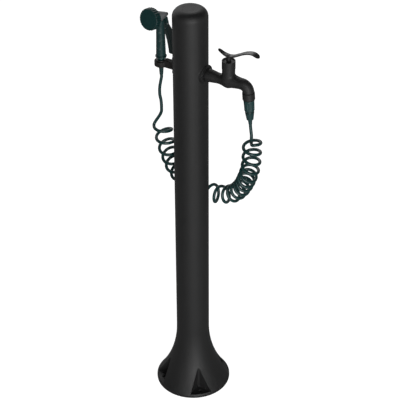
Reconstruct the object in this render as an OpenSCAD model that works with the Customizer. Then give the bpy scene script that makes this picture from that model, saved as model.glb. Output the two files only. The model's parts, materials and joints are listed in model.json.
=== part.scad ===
// Garden standpipe: a hollow post on a flared foot, with a lever tap on one side,
// a spray gun in a bracket on the other, and a curly hose from the tap to the gun.
// Millimetres. The origin is the middle of the foot on the ground, +Z is up,
// the tap points along +X and the bracket along -X.

/* [Post] */
// Overall height of the post
post_h = 989; // [940:1:1100]
// Outside radius of the post
post_r = 38; // [36:0.5:42]
// Wall of the moulded post
post_wall = 4; // [3:0.5:5]
// Rounding of the post's top edge
top_edge_r = 18; // [10:1:22]
// Radius of the blank disc let into the top
badge_r = 13; // [8:0.5:15]
// Thickness of the blank disc
badge_t = 0.8; // [0.6:0.1:1.5]

/* [Foot] */
// Radius of the flared foot
foot_r = 87; // [84:1:100]
// Height at which the flare runs into the post
flare_h = 157; // [145:1:190]
// Height of the foot's upright rim
rim_h = 6; // [5:0.5:9]
// Rounding under the rim
rim_edge_r = 2; // [1:0.5:3]

/* [Anchor pockets] */
// Diameter of the circle through the four anchor holes
anchor_pcd = 144; // [140:1:150]
// Diameter of an anchor hole
anchor_hole_d = 9; // [7:0.5:11]
// Distance from the post's axis to a pocket's inner corner
pocket_apex_r = 55; // [54:0.5:58]
// Half of the angle between a pocket's two walls
pocket_half_angle = 43; // [36:1:45]
// Rounding of a pocket's inner corner
pocket_corner_r = 5; // [4:0.5:7]
// Thickness of a pocket's floor
pocket_floor_t = 8; // [6:0.5:9]
// Width of the rim left in front of a pocket
pocket_lip_w = 3; // [3:0.5:5]

/* [Water inlet] */
// Height of the inlet plate's underside
plate_z = 42; // [40:1:46]
// Thickness of the inlet plate
plate_t = 4; // [3:0.5:6]
// Radius of the circle through the plate's screws
plate_screw_r = 45; // [44:0.5:46]
// Diameter of the plate's screws
plate_screw_d = 4; // [3:0.5:5]
// Length of the plate's screws below their heads
plate_screw_len = 14; // [12:1:18]
// Outside diameter of the inlet's pipe thread
inlet_thread_d = 20.95; // [16:0.05:24]
// Length of thread below the plate
inlet_thread_len = 26; // [20:1:30]
// Bore of the water way
water_bore_d = 9; // [7:0.5:10]
// Inside diameter of the riser hose
riser_bore_d = 12.7; // [12:0.1:14]
// Wall of the riser hose
riser_wall = 3; // [2:0.5:4]
// Length of a hose barb
barb_len = 30; // [24:1:36]
// Width of a hose clip's band
clip_w = 9; // [7:0.5:12]

/* [Tap] */
// Height of the tap's inlet above the ground
tap_z = 845; // [800:1:860]
// Radius of the flat boss on the post
boss_r = 21; // [20:0.5:24]
// How far the boss stands out of the post
boss_out = 1.5; // [1:0.5:4]
// Thickness of the rosette
rosette_t = 2; // [1.5:0.5:4]
// Diameter of the tap's threaded tail
tail_d = 20.95; // [18:0.05:22]
// Distance from the rosette to the valve's axis
spigot_len = 51.5; // [46:0.5:60]
// Radius of the spigot where it meets the rosette
spigot_root_r = 14.5; // [13:0.5:17]
// Radius of the spigot at its neck
spigot_neck_r = 11.8; // [11:0.1:12.8]
// Radius of the valve chamber's round belly
belly_r = 15.5; // [14:0.1:16]
// Radius of the chamber's upright neck
neck_r = 13.9; // [13.2:0.1:14]
// Height of the bonnet's seat above the inlet axis
bonnet_seat = 31; // [28:0.5:34]
// Radius of the bonnet
bonnet_r = 14.4; // [14.4:0.1:16]
// Height of the bonnet above its seat
bonnet_h = 18; // [16:0.5:22]
// Distance from the valve's axis to the outlet's axis
spout_reach = 48; // [44:0.5:54]
// Radius of the spout where it leaves the chamber
spout_root_r = 16.5; // [15.5:0.1:17]
// Radius of the spout at its bend
spout_r = 12.3; // [11.5:0.1:12.8]
// Rise of the spout above the inlet axis
spout_rise = 3; // [2:0.5:4]
// Radius of the spout's bend, along its middle
elbow_r = 15; // [14:0.5:18]
// Outward lean of the outlet
outlet_tilt = 4.5; // [0:0.5:8]

/* [Tap lever] */
// Radius of the valve's stem
stem_r = 5; // [4:0.5:5.5]
// Length of stem showing between the bonnet and the lever
stem_show = 9; // [6:0.5:12]
// Reach of the lever's long wing
lever_long = 73; // [60:1:85]
// Reach of the lever's short wing
lever_short = 25; // [20:1:32]
// Thickness of the lever at its middle
lever_t = 4.4; // [4:0.2:6]
// Thickness of the lever at its two tips
lever_tip_t = 2.2; // [1.6:0.2:3.6]
// Half width of the long wing's paddle
paddle_half_w = 8; // [6:0.5:10]
// Half width of the short wing
wing_half_w = 5; // [4:0.5:7]

/* [Hose connector] */
// Height of the threaded collar on the spout's end
collar_h = 15; // [14:0.5:20]
// Radius of that collar
collar_r = 13.3; // [13:0.1:15]
// Radius of the nipple that the connector snaps on
nipple_r = 6.9; // [6:0.1:7.2]
// Length of the nipple below the collar
nipple_len = 20; // [18:0.5:23]
// Radius of the connector's sliding sleeve
sleeve_r = 11.7; // [11:0.1:13]
// Length of the sleeve
sleeve_len = 25; // [20:0.5:27]
// How far the sleeve pulls back
sleeve_travel = 4; // [3:0.5:5]
// Length of the connector's hose nut
nut_len = 17; // [16:0.5:24]
// Length of the hose sleeve under that nut
boot_len = 12; // [8:0.5:16]

/* [Gun holder] */
// Distance from the post's axis to the gun's grip
holder_x = 74; // [70:0.5:80]
// Height of the holder's seat
seat_z = 838; // [824:1:844]
// Height of the holder's arm above its seat
arm_h = 14; // [13:0.5:20]
// Width of the holder's arm
arm_w = 14; // [10:0.5:16]
// Wall of the holder's cup
cup_wall = 3.2; // [2.8:0.2:4]
// Thickness of the seat under the coupling
prong_t = 3; // [2.5:0.5:5]
// Thickness of the holder's mounting flange
flange_t = 3; // [2.5:0.5:4]
// Diameter of the holder's screws
holder_screw_d = 5; // [4:0.5:6]

/* [Spray gun] */
// Turn of the gun about its grip
gun_turn = -6; // [-20:1:20]
// Upward tilt of the barrel
barrel_tilt = 10.5; // [6:0.5:16]
// Height of the barrel's axis above the holder's seat, at the grip
barrel_rise = 113.5; // [110:0.5:120]
// Radius of the barrel behind the spray head
barrel_r = 14; // [12.5:0.5:15]
// Radius of the barrel at its rear end
barrel_end_r = 5.5; // [5:0.5:7]
// Length of the barrel behind the grip's axis
barrel_back = 17; // [16:0.5:22]
// Length of the barrel in front of the grip's axis
barrel_front = 14; // [12:0.5:18]
// Radius of the grip's core
core_r = 7.4; // [7:0.1:7.8]
// Radius of the grip's soft cover at its lower end
grip_r = 10.6; // [10:0.1:11.2]
// Radius of the grip's soft cover at its top
grip_top_r = 8.9; // [8.6:0.1:9.8]
// How far each finger swell stands out of the grip
swell_out = 1.2; // [0.8:0.1:2]
// Radius of the coupling at the grip's lower end
coupling_r = 11.2; // [10.8:0.1:13]
// Height of that coupling
coupling_h = 11.5; // [10:0.5:14]
// Length of the tapered hose nut under the coupling
gun_nut_len = 26; // [18:0.5:28]
// Radius of the spray head
head_r = 23.8; // [20:0.5:26]
// Length of the spray head's ribbed rim
head_rim = 15; // [14:0.5:22]
// Number of ribs round the spray head
head_ribs = 26; // [16:1:36]
// Radius of the round knob behind the barrel
knob_r = 4; // [3.5:0.5:5]
// Length of that knob
knob_len = 5; // [4:0.5:8]

/* [Trigger] */
// Width of the trigger
trigger_w = 11; // [10:0.5:12]
// Height of the trigger's pivot below the barrel's axis at the grip
pivot_drop = 22.5; // [21:0.5:24]
// Distance from the grip's axis to the pivot
pivot_back = 14.8; // [14.5:0.1:16]
// Radius of the trigger's pin
pin_r = 1.5; // [1.2:0.1:1.7]
// Height of the valve's stem below the trigger's pivot
valve_drop = 13; // [12.5:0.1:13.5]
// Radius of the valve's stem
valve_stem_r = 1.6; // [1.4:0.1:1.8]

/* [Hose] */
// Outside diameter of the curly hose
hose_d = 7; // [6:0.25:7.5]
// Radius of the curls, to the middle of the tube
curl_r = 18.5; // [16:0.5:19]
// Number of curls
curls = 20; // [16:1:24]
// How much wider the curls are spaced at the gun's end than at the tap's
curl_spread = 0.1; // [0:0.02:0.2]
// Direction in which the first curl starts, seen from above
curl_start = 212; // [180:2:240]

/* [Fits] */
// Radial clearance of screws and spigots in their holes
fit_gap = 0.05; // [0.03:0.01:0.1]
// Clearance between pieces that move past each other
run_gap = 0.3; // [0.2:0.05:0.4]

/* [Hidden] */
$fn = 64;
past = 1;

// The post's profile
flare_run = foot_r - post_r;
flare_rise = flare_h - rim_h;
flare_r = (flare_run * flare_run + flare_rise * flare_rise) / (2 * flare_run);
flare_end = asin(flare_rise / flare_r);
hollow_r = post_r - post_wall;
hollow_foot_r = foot_r - post_wall;
hollow_end = acos((post_r + flare_r - hollow_foot_r) / (flare_r + post_wall));
flare_steps = 20;
edge_steps = 16;

// The pockets
pocket_centre_r = pocket_apex_r + pocket_corner_r;
pocket_side = foot_r;
corner_steps = 6;
pocket_count = 4;
pocket_turn = 45;

// The inlet, the riser hose and the elbow behind the tap
thread_r = inlet_thread_d / 2;
plate_r = plate_screw_r + 5;
plate_top = plate_z + plate_t;
plate_boss_r = plate_screw_d / 2 + 6;
plate_boss_h = plate_screw_len + 2;
screw_head_h = 2.6;
nut_h = 8;
nut_over = 5;
barb_r = riser_bore_d / 2 - fit_gap;
riser_r = riser_bore_d / 2 + riser_wall;
riser_z0 = plate_top + nut_h + 3;
barb_top = riser_z0 + barb_len;
inlet_flange_h = 4;
bore_r = water_bore_d / 2;
clip_t = 1.5;
clip_screw_r = 3;
tail_r = tail_d / 2;
pad_x = post_r - 8;
locknut_x = pad_x - nut_h;
socket_len = 14;
socket_x = locknut_x - socket_len;
elbow_wall = 3;
elbow_body_r = tail_r + elbow_wall;
elbow_drop = elbow_body_r + 20;
riser_z1 = tap_z - elbow_drop - 1;
barb_bottom = riser_z1 - barb_len;

// The tap
boss_x = post_r + boss_out;
tap_x0 = boss_x + rosette_t;
valve_x = tap_x0 + spigot_len;
outlet_x = valve_x + spout_reach;
spout_z = tap_z + spout_rise;
elbow_z = spout_z - elbow_r;
spigot_taper = 0.6 * spigot_len;
taper_steps = 10;
blend_in = 0.8;
seat_top = tap_z + bonnet_seat;
bonnet_top = seat_top + bonnet_h;
chamber_r = 9.4;
bonnet_thread_r = 11.4;
bonnet_thread_len = 10;
chamber_floor = tap_z - 7;
disc_t = 3;
sleeve_bore = 6.6;
bonnet_roof = 6;
bonnet_dish = 2;
bonnet_rim = 2.2;
collar_top = elbow_z - 2;
spout_thread_r = 10.3;
spout_thread_len = collar_h - 3;

// The stem and the lever
lever_z = bonnet_top + stem_show;
tenon_r = stem_r - 1.4;
tenon_h = 3.2;
stem_flange_t = 4;
stem_flange_r = sleeve_bore - fit_gap;
stem_flange_z = bonnet_top - bonnet_roof - stem_flange_t - run_gap;
disc_top = chamber_floor + 2 * disc_t;
lever_screw_r = 1.8;
lever_screw_head_r = 3.6;
lever_screw_head_h = 0.8;
lever_screw_len = 5;
lever_steps = 6;
// Middle line of the lever, as shares of each wing's reach, and heights in millimetres
long_wing = [[0.14, 3.6], [0.3, 9.4], [0.52, 18.2], [0.7, 22.6], [0.84, 22.6], [1, 17.2]];
short_wing = [[1, 11.4], [0.68, 7.2], [0.36, 3.7]];

// The connector under the spout
collar_bottom = collar_top - collar_h;
nipple_tip = collar_bottom - nipple_len;
body_r = sleeve_r - 1.8;
socket_r = nipple_r + fit_gap;
connector_top = collar_bottom - run_gap;
sleeve_top = connector_top - 1.5;
sleeve_bottom = sleeve_top - sleeve_len;
nut_top = sleeve_bottom - sleeve_travel - run_gap;
nut_bottom = nut_top - nut_len;
boot_bottom = nut_bottom - boot_len;
nut_top_r = body_r;
nut_end_r = nut_top_r - 2.6;
hose_r = hose_d / 2;
boot_top_r = hose_r + 1.4;
oring_t = 1.8;
nipple_seal_z = nipple_tip + 3;
jaw_h = 4;
jaw_w = 5;
jaw_count = 3;
jaw_z = connector_top - 9;
shell_r = body_r - 0.9;
stub_r = hose_r - 0.8;
stub_bore_r = stub_r - 1;

// The holder
grip_pos = [-holder_x, 0, 0];
cup_r = coupling_r + run_gap;
cup_out_r = cup_r + cup_wall;
slot_r = core_r + 0.9;
arm_top = seat_z + arm_h;
cup_top = arm_top - 5;
arm_bottom = seat_z - prong_t;
flange_over = 14;
flange_x = post_r + fit_gap;
holder_screw_r = holder_screw_d / 2;
holder_screw_z = [arm_bottom - flange_over / 2, arm_top + flange_over / 2];
holder_nut_h = 4;
holder_head_h = 3;

// The spray gun, in its own frame: the grip stands on Z and the barrel points along -Y
barrel_z = seat_z + barrel_rise;
coupling_bottom = seat_z + run_gap;
coupling_top = coupling_bottom + coupling_h;
core_bottom = coupling_bottom + 4;
lip_z = coupling_top + 6;
lip_h = 3;
lip_r = grip_r + 1.8;
grip_top = barrel_z - 8;
swells = 4;
swell_r = 8;
swell_step = (grip_top - lip_z - 12) / swells;
gun_nut_bottom = coupling_bottom - gun_nut_len;
gun_nut_r = core_r - 0.2;
gun_nut_neck_r = 5.8;
spigot_r = 9;
spigot_reach = 14;
head_back = barrel_front + run_gap;
cone_len = 10.5;
head_front = head_back + cone_len + head_rim;
rib_out = 1.4;
plate_inset = 1;
plate_face_t = 3;
plate_face_r = head_r - 2.6;
spray_holes = 12;
pivot_z = barrel_z - pivot_drop;
valve_z = pivot_z - valve_drop;
ear_t = 2.2;
ear_x = trigger_w / 2 + run_gap;
ear_end = ear_x + ear_t;
eye_r = 3.6;
valve_bore_r = 4.2;
valve_head_t = 2;
valve_head_r = valve_bore_r - run_gap;
spring_len = 2.2;
valve_front = core_r - 2.2;
pad_in = 0.8;
pad_half = 3;
stem_tip = pivot_back + pad_in - 0.2;
groove_r = 1;
groove_end = 4;
sleeve_grooves = 12;
coupling_grooves = 18;
spray_hole_r = 0.8;
spray_ring = 0.6;
head_seal_z = barrel_front + 6;
knob_stem = 5;

// The hose's route: the middle of the curls from the gun's side to the tap's side,
// and the two plain lengths, both from the top down
curl_axis = [[-74, -1, 686], [-71.5, -0.5, 671], [-69, 0, 656], [-65, 3, 632], [-62, 12, 602], [-58.5, 24.5, 568],
    [-50, 39.5, 538], [-28, 58, 514], [0, 65, 502], [27, 64, 501], [50, 63, 509], [69, 60, 519],
    [86, 52, 536], [104.5, 40, 560], [119, 28, 584], [130, 17, 604], [140, 8, 625], [146.5, 4, 645],
    [150.5, 1, 668], [152, 0, 692], [152, 0, 717.5]];
gun_tail = [[-holder_x, 0, gun_nut_bottom], [-holder_x, 0, gun_nut_bottom - hose_d], [-76, -1, 793],
    [-78, -2, 778], [-78, -2, 762], [-76, -1, 748], [-75, -1, 737], [-75, -1, 730]];
tap_tail = [outlet_at(boot_bottom), outlet_at(boot_bottom - hose_d), [149.3, -1, 742],
    [150.8, -2, 736], [151.5, -2.5, 731], [151.5, -2.5, 726]];
lead_pull = 13;
lead_steps = 6;
axis_steps = 8;
curl_rings = 8;
curl_sides = 6;
tail_sides = 10;

post_colour = "#2a2b2d";
metal_colour = "#333436";
teal_colour = "#16403e";
dark_teal = "#12302f";
rubber_colour = "#1b1b1b";
brass_colour = "#b08d4a";
steel_colour = "#b8bcc0";
ceramic_colour = "#ece8df";

// General helpers
function unit(v) = v / norm(v);
function ease(t) = t * t * (3 - 2 * t);
function between(a, b, t) = a + (b - a) * t;
function curve_at(p, i, t) =
    let (a = p[max(i - 1, 0)], b = p[i], c = p[i + 1], d = p[min(i + 2, len(p) - 1)])
    b + t * (c - a) / 2 + t * t * (a - 2.5 * b + 2 * c - d / 2) + t * t * t * (1.5 * (b - c) + (d - a) / 2);
function smooth_line(p, steps) = concat(
    [for (i = [0:len(p) - 2]) for (k = [0:steps - 1]) curve_at(p, i, k / steps)], [p[len(p) - 1]]);
function reversed(p) = [for (i = [len(p) - 1:-1:0]) p[i]];

module ring(r_out, r_in, z0, z1) {
    translate([0, 0, z0])
        difference() {
            cylinder(r = r_out, h = z1 - z0);
            translate([0, 0, -past])
                cylinder(r = r_in, h = z1 - z0 + 2 * past);
        }
}

module rod(r, z0, z1) {
    translate([0, 0, z0])
        cylinder(r = r, h = z1 - z0);
}

module hex_ring(r_out, r_in, z0, z1) {
    translate([0, 0, z0])
        difference() {
            cylinder(r = r_out, h = z1 - z0, $fn = 6);
            translate([0, 0, -past])
                cylinder(r = r_in, h = z1 - z0 + 2 * past);
        }
}

// Turns a shape that stands on Z to lie along X, at the tap's height
module along_tap() {
    translate([0, 0, tap_z])
        rotate([0, 90, 0])
            children();
}

module at_valve() {
    translate([valve_x, 0, 0])
        children();
}

module at_outlet() {
    translate([outlet_x - elbow_r, 0, elbow_z])
        rotate([0, -outlet_tilt, 0])
            translate([elbow_r, 0, -elbow_z])
                children();
}

// Middle of the outlet at a height measured along its own lean
function outlet_at(z) =
    let (a = outlet_tilt, d = elbow_z - z)
    [outlet_x - elbow_r + elbow_r * cos(a) + d * sin(a), 0, elbow_z + elbow_r * sin(a) - d * cos(a)];

// The spout's bend, from the lean of the outlet up to the level spout
module spout_bend(r) {
    translate([outlet_x - elbow_r, 0, elbow_z])
        rotate([90, 0, 0])
            rotate([0, 0, outlet_tilt])
                rotate_extrude(angle = 90 - outlet_tilt)
                    translate([elbow_r, 0])
                        circle(r = r);
}

module round_pockets() {
    for (k = [0:pocket_count - 1])
        rotate([0, 0, pocket_turn + k * 360 / pocket_count])
            children();
}

// Post and foot
function flare_point(r, a) = [post_r + flare_r - r * cos(a), flare_h - r * sin(a)];

post_outline = concat(
    [[0, 0], [foot_r - rim_edge_r, 0]],
    [for (k = [1:edge_steps])
        let (a = 90 * k / edge_steps)
        [foot_r - rim_edge_r * (1 - sin(a)), rim_edge_r * (1 - cos(a))]],
    [for (k = [flare_steps:-1:0]) flare_point(flare_r, flare_end * k / flare_steps)],
    [for (k = [0:edge_steps])
        let (a = 90 * k / edge_steps)
        [post_r - top_edge_r * (1 - cos(a)), post_h - top_edge_r * (1 - sin(a))]],
    [[0, post_h]]);

post_hollow = concat(
    [[0, -past], [hollow_foot_r, -past]],
    [for (k = [flare_steps:-1:0]) flare_point(flare_r + post_wall, hollow_end * k / flare_steps)],
    [for (k = [0:edge_steps])
        let (a = 90 * k / edge_steps, r = top_edge_r - post_wall)
        [hollow_r - r * (1 - cos(a)), post_h - post_wall - r * (1 - sin(a))]],
    [[0, post_h - post_wall]]);

function pocket_outline(grow) =
    let (a = pocket_half_angle, r = pocket_corner_r + grow)
    concat(
        [for (k = [0:corner_steps])
            let (b = between(90 + a, 270 - a, k / corner_steps))
            [pocket_centre_r + r * cos(b), r * sin(b)]],
        [for (s = [-1, 1])
            [pocket_centre_r - r * sin(a) + pocket_side * cos(a), s * (r * cos(a) + pocket_side * sin(a))]]);

module pocket_walls() {
    intersection() {
        round_pockets()
            linear_extrude(flare_h)
                polygon(pocket_outline(post_wall));
        rotate_extrude()
            polygon(post_outline);
    }
}

module pocket_cuts() {
    intersection() {
        translate([0, 0, pocket_floor_t])
            round_pockets()
                linear_extrude(flare_h)
                    polygon(pocket_outline(0));
        cylinder(r = foot_r - pocket_lip_w, h = flare_h);
    }
}

module column() {
    color(post_colour)
        difference() {
            union() {
                difference() {
                    rotate_extrude()
                        polygon(post_outline);
                    rotate_extrude()
                        polygon(post_hollow);
                }
                pocket_walls();
                along_tap()
                    rod(boss_r, pad_x, boss_x);
                round_pockets()
                    translate([plate_screw_r, 0, 0])
                        rod(plate_boss_r, plate_top, plate_top + plate_boss_h);
            }
            pocket_cuts();
            round_pockets()
                translate([anchor_pcd / 2, 0, 0])
                    rod(anchor_hole_d / 2, -past, pocket_floor_t + past);
            round_pockets()
                translate([plate_screw_r, 0, 0])
                    rod(plate_screw_d / 2 + fit_gap, plate_top - past, plate_z + plate_screw_len + past);
            along_tap()
                rod(tail_r + fit_gap, pad_x - past, boss_x + past);
            for (z = holder_screw_z)
                translate([0, 0, z])
                    rotate([0, -90, 0])
                        rod(holder_screw_r + fit_gap, hollow_r - 2 * past, post_r + past);
            rod(badge_r + fit_gap, post_h - badge_t, post_h + past);
        }
}

module top_badge() {
    color(metal_colour)
        rod(badge_r, post_h - badge_t, post_h);
}

// Inlet and riser
module inlet_plate() {
    color(post_colour)
        difference() {
            rod(plate_r, plate_z, plate_top);
            rod(thread_r + fit_gap, plate_z - past, plate_top + past);
            round_pockets()
                translate([plate_screw_r, 0, 0])
                    rod(plate_screw_d / 2 + fit_gap, plate_z - past, plate_top + past);
        }
}

module plate_screws() {
    color(steel_colour)
        round_pockets()
            translate([plate_screw_r, 0, 0]) {
                rod(plate_screw_d / 2, plate_z, plate_z + plate_screw_len);
                rod(plate_screw_d, plate_z - screw_head_h, plate_z);
            }
}

module inlet_nipple() {
    color(brass_colour)
        difference() {
            union() {
                rod(thread_r, plate_z - inlet_thread_len, plate_top + nut_h);
                rod(thread_r + nut_over, plate_z - inlet_flange_h, plate_z);
                rod(barb_r, plate_top + nut_h, barb_top);
            }
            rod(bore_r, plate_z - inlet_thread_len - past, barb_top + past);
        }
}

module inlet_locknut() {
    color(brass_colour)
        hex_ring(thread_r + nut_over, thread_r + fit_gap, plate_top, plate_top + nut_h);
}

module riser_hose() {
    color(rubber_colour)
        ring(riser_r, riser_bore_d / 2, riser_z0, riser_z1);
}

module hose_clip(z) {
    translate([0, 0, z]) {
        ring(riser_r + fit_gap + clip_t, riser_r + fit_gap, 0, clip_w);
        difference() {
            translate([0, riser_r + clip_screw_r, clip_w / 2])
                rotate([0, 90, 0])
                    rod(clip_screw_r, -clip_w / 2, clip_w / 2);
            rod(riser_r + fit_gap + clip_t / 2, -past, clip_w + past);
        }
    }
}

module hose_clips() {
    color(steel_colour) {
        hose_clip(riser_z0 + clip_w);
        hose_clip(riser_z1 - 2 * clip_w);
    }
}

module shank_elbow() {
    color(brass_colour)
        difference() {
            union() {
                along_tap()
                    rod(elbow_body_r, -elbow_body_r, locknut_x);
                rod(riser_r, tap_z - elbow_drop, tap_z);
                rod(barb_r, barb_bottom, tap_z);
            }
            along_tap()
                rod(tail_r + fit_gap, socket_x, locknut_x + past);
            along_tap()
                rod(bore_r, 0, locknut_x);
            rod(bore_r, barb_bottom - past, tap_z);
        }
}

module shank_locknut() {
    color(brass_colour)
        along_tap()
            hex_ring(tail_r + nut_over, tail_r + fit_gap, locknut_x, pad_x);
}

// Tap
module tap_rosette() {
    color(metal_colour)
        along_tap()
            ring(boss_r - 1, tail_r + fit_gap, boss_x, tap_x0);
}

spigot_outline = concat(
    [[0, tap_x0]],
    [for (k = [0:taper_steps])
        let (t = k / taper_steps)
        [between(spigot_root_r, spigot_neck_r, ease(t)), tap_x0 + t * spigot_taper]],
    [for (k = [1:taper_steps])
        let (t = k / taper_steps)
        [between(spigot_neck_r, belly_r - blend_in, ease(t)), between(tap_x0 + spigot_taper, valve_x, t)]],
    [[0, valve_x]]);

spout_outline = concat(
    [[0, 0]],
    [for (k = [0:taper_steps])
        let (t = k / taper_steps)
        [between(spout_root_r - blend_in, spout_r, ease(t)), t * (spout_reach - elbow_r)]],
    [[0, spout_reach - elbow_r]]);

module tap_outside() {
    along_tap()
        rotate_extrude()
            polygon(spigot_outline);
    along_tap()
        rod(tail_r, socket_x, tap_x0);
    at_valve()
        translate([0, 0, tap_z])
            rotate([90, 0, 0])
                sphere(r = belly_r);
    at_valve()
        rod(neck_r, tap_z, seat_top);
    translate([valve_x, 0, spout_z]) {
        sphere(r = spout_root_r);
        rotate([0, 90, 0])
            rotate_extrude()
                polygon(spout_outline);
    }
    spout_bend(spout_r);
    at_outlet() {
        rod(spout_r, collar_top, elbow_z);
        rod(spout_thread_r, collar_top - spout_thread_len, elbow_z);
    }
}

module tap_waterway() {
    along_tap()
        rod(bore_r, socket_x - past, valve_x);
    at_valve() {
        rod(chamber_r + fit_gap, chamber_floor, seat_top + past);
        rod(bonnet_thread_r + fit_gap, seat_top - bonnet_thread_len, seat_top + past);
    }
    translate([valve_x, 0, spout_z])
        rotate([0, 90, 0])
            rod(bore_r, 0, spout_reach - elbow_r);
    spout_bend(bore_r - 0.2);
    at_outlet()
        rod(bore_r, collar_top - spout_thread_len - past, elbow_z);
}

module tap_body() {
    color(metal_colour)
        difference() {
            tap_outside();
            tap_waterway();
        }
}

module tap_bonnet() {
    color(metal_colour)
        at_valve()
            difference() {
                union() {
                    rod(bonnet_r, seat_top, bonnet_top);
                    rod(bonnet_thread_r, seat_top - bonnet_thread_len, seat_top);
                }
                rod(chamber_r + fit_gap, seat_top - bonnet_thread_len - past, bonnet_top - bonnet_roof);
                rod(stem_r + fit_gap, seat_top, bonnet_top + past);
                rod(bonnet_r - bonnet_rim, bonnet_top - bonnet_dish, bonnet_top + past);
            }
}

module cartridge_sleeve() {
    color(brass_colour)
        at_valve()
            difference() {
                rod(chamber_r, chamber_floor, bonnet_top - bonnet_roof);
                rod(sleeve_bore, chamber_floor - past, bonnet_top);
                translate([0, 0, tap_z])
                    rotate([0, 90, 0])
                        rod(bore_r, -chamber_r - past, chamber_r + past);
            }
}

module disc_half(z0, turn) {
    difference() {
        rod(sleeve_bore - fit_gap, z0, z0 + disc_t);
        rotate([0, 0, turn])
            translate([sleeve_bore / 2, 0, 0])
                rod(sleeve_bore / 4, z0 - past, z0 + disc_t + past);
    }
}

module fixed_disc() {
    color(ceramic_colour)
        at_valve()
            disc_half(chamber_floor, 0);
}

module moving_disc() {
    color(ceramic_colour)
        at_valve()
            disc_half(chamber_floor + disc_t, 90);
}

module spindle() {
    color(steel_colour)
        at_valve()
            difference() {
                union() {
                    rod(stem_r, disc_top, lever_z);
                    rod(stem_flange_r, stem_flange_z, stem_flange_z + stem_flange_t);
                    rod(tenon_r, lever_z, lever_z + tenon_h);
                }
                ring(stem_r + past, stem_r - oring_t, stem_flange_z - 2 * oring_t, stem_flange_z - oring_t);
                rod(lever_screw_r + fit_gap, lever_z - lever_screw_len - past, lever_z + tenon_h + past);
            }
}

module spindle_seal() {
    color(rubber_colour)
        at_valve()
            ring(sleeve_bore - fit_gap, stem_r - oring_t + fit_gap,
                stem_flange_z - 2 * oring_t + fit_gap, stem_flange_z - oring_t - fit_gap);
}

// Lever: a wavy strip seen from the side, cut to a paddle seen from above
lever_middle = smooth_line(concat(
    [for (p = short_wing) [-p[0] * lever_short, p[1]]],
    [[0, lever_t / 2]],
    [for (p = long_wing) [p[0] * lever_long, p[1]]]), lever_steps);

function wing_half(x) = x < 0
    ? between(wing_half_w + 1, wing_half_w, min(-x / lever_short, 1))
    : between(wing_half_w + 1, paddle_half_w, ease(min(1, x / (0.6 * lever_long))));

function lever_half(x) =
    between(lever_t, lever_tip_t, ease(min(1, x < 0 ? -x / lever_short : x / lever_long))) / 2;

lever_plan = concat(
    [for (k = [0:12])
        let (x = between(-lever_short + wing_half_w, lever_long - paddle_half_w, k / 12))
        [x, -wing_half(x)]],
    [for (k = [1:edge_steps])
        let (a = -90 + 180 * k / edge_steps)
        [lever_long - paddle_half_w + paddle_half_w * cos(a), paddle_half_w * sin(a)]],
    [for (k = [11:-1:0])
        let (x = between(-lever_short + wing_half_w, lever_long - paddle_half_w, k / 12))
        [x, wing_half(x)]],
    [for (k = [1:edge_steps - 1])
        let (a = 90 + 180 * k / edge_steps)
        [-lever_short + wing_half_w + wing_half_w * cos(a), wing_half_w * sin(a)]]);

module tap_lever() {
    color(metal_colour)
        translate([valve_x, 0, lever_z])
            difference() {
                union() {
                    intersection() {
                        translate([0, paddle_half_w + past, 0])
                            rotate([90, 0, 0])
                                linear_extrude(2 * (paddle_half_w + past))
                                    polygon(concat(
                                        [for (p = lever_middle) p - [0, lever_half(p[0])]],
                                        [for (p = reversed(lever_middle)) p + [0, lever_half(p[0])]]));
                        linear_extrude(2 * lever_long)
                            polygon(lever_plan);
                    }
                    cylinder(r = wing_half_w + 1, h = lever_t);
                }
                translate([0, 0, -past])
                    cylinder(r = tenon_r + fit_gap, h = tenon_h + past);
                cylinder(r = lever_screw_r + fit_gap, h = lever_long);
                translate([0, 0, lever_t])
                    cylinder(r = lever_screw_head_r + fit_gap, h = lever_long);
            }
}

module lever_screw() {
    color(steel_colour)
        at_valve() {
            rod(lever_screw_r, lever_z - lever_screw_len, lever_z + lever_t);
            rod(lever_screw_head_r, lever_z + lever_t, lever_z + lever_t + lever_screw_head_h);
        }
}

// Connector under the spout
module spout_collar() {
    color(metal_colour)
        at_outlet()
            difference() {
                union() {
                    rod(collar_r, collar_bottom, collar_top);
                    rod(nipple_r, nipple_tip, collar_bottom);
                }
                rod(spout_thread_r + fit_gap, collar_top - spout_thread_len, collar_top + past);
                rod(bore_r, nipple_tip - past, collar_top);
                ring(nipple_r + past, nipple_r - oring_t, nipple_seal_z, nipple_seal_z + oring_t);
            }
}

module nipple_seal() {
    color(rubber_colour)
        at_outlet()
            ring(nipple_r, nipple_r - oring_t + fit_gap, nipple_seal_z + fit_gap,
                nipple_seal_z + oring_t - fit_gap);
}

module jaw_slots(gap) {
    for (k = [0:jaw_count - 1])
        rotate([0, 0, 360 * k / jaw_count])
            translate([0, -jaw_w / 2 - gap, jaw_z - gap])
                cube([body_r, jaw_w + 2 * gap, jaw_h + 2 * gap]);
}

module connector_body() {
    color(dark_teal)
        at_outlet()
            difference() {
                union() {
                    rod(shell_r, nut_top, connector_top);
                    rod(stub_r, nut_bottom, nut_top);
                }
                rod(socket_r, nipple_tip - run_gap, connector_top + past);
                rod(stub_bore_r, nut_bottom - past, connector_top);
                jaw_slots(fit_gap);
            }
}

module connector_sleeve() {
    color(teal_colour)
        at_outlet()
            difference() {
                ring(sleeve_r, shell_r + fit_gap, sleeve_bottom, sleeve_top);
                for (k = [0:sleeve_grooves - 1])
                    rotate([0, 0, 360 * k / sleeve_grooves])
                        translate([sleeve_r + groove_r / 2, 0, 0])
                            rod(groove_r, sleeve_bottom + groove_end, sleeve_top - groove_end);
            }
}

module connector_jaws() {
    color(steel_colour)
        at_outlet()
            intersection() {
                ring(shell_r, socket_r, jaw_z, jaw_z + jaw_h);
                jaw_slots(0);
            }
}

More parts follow.
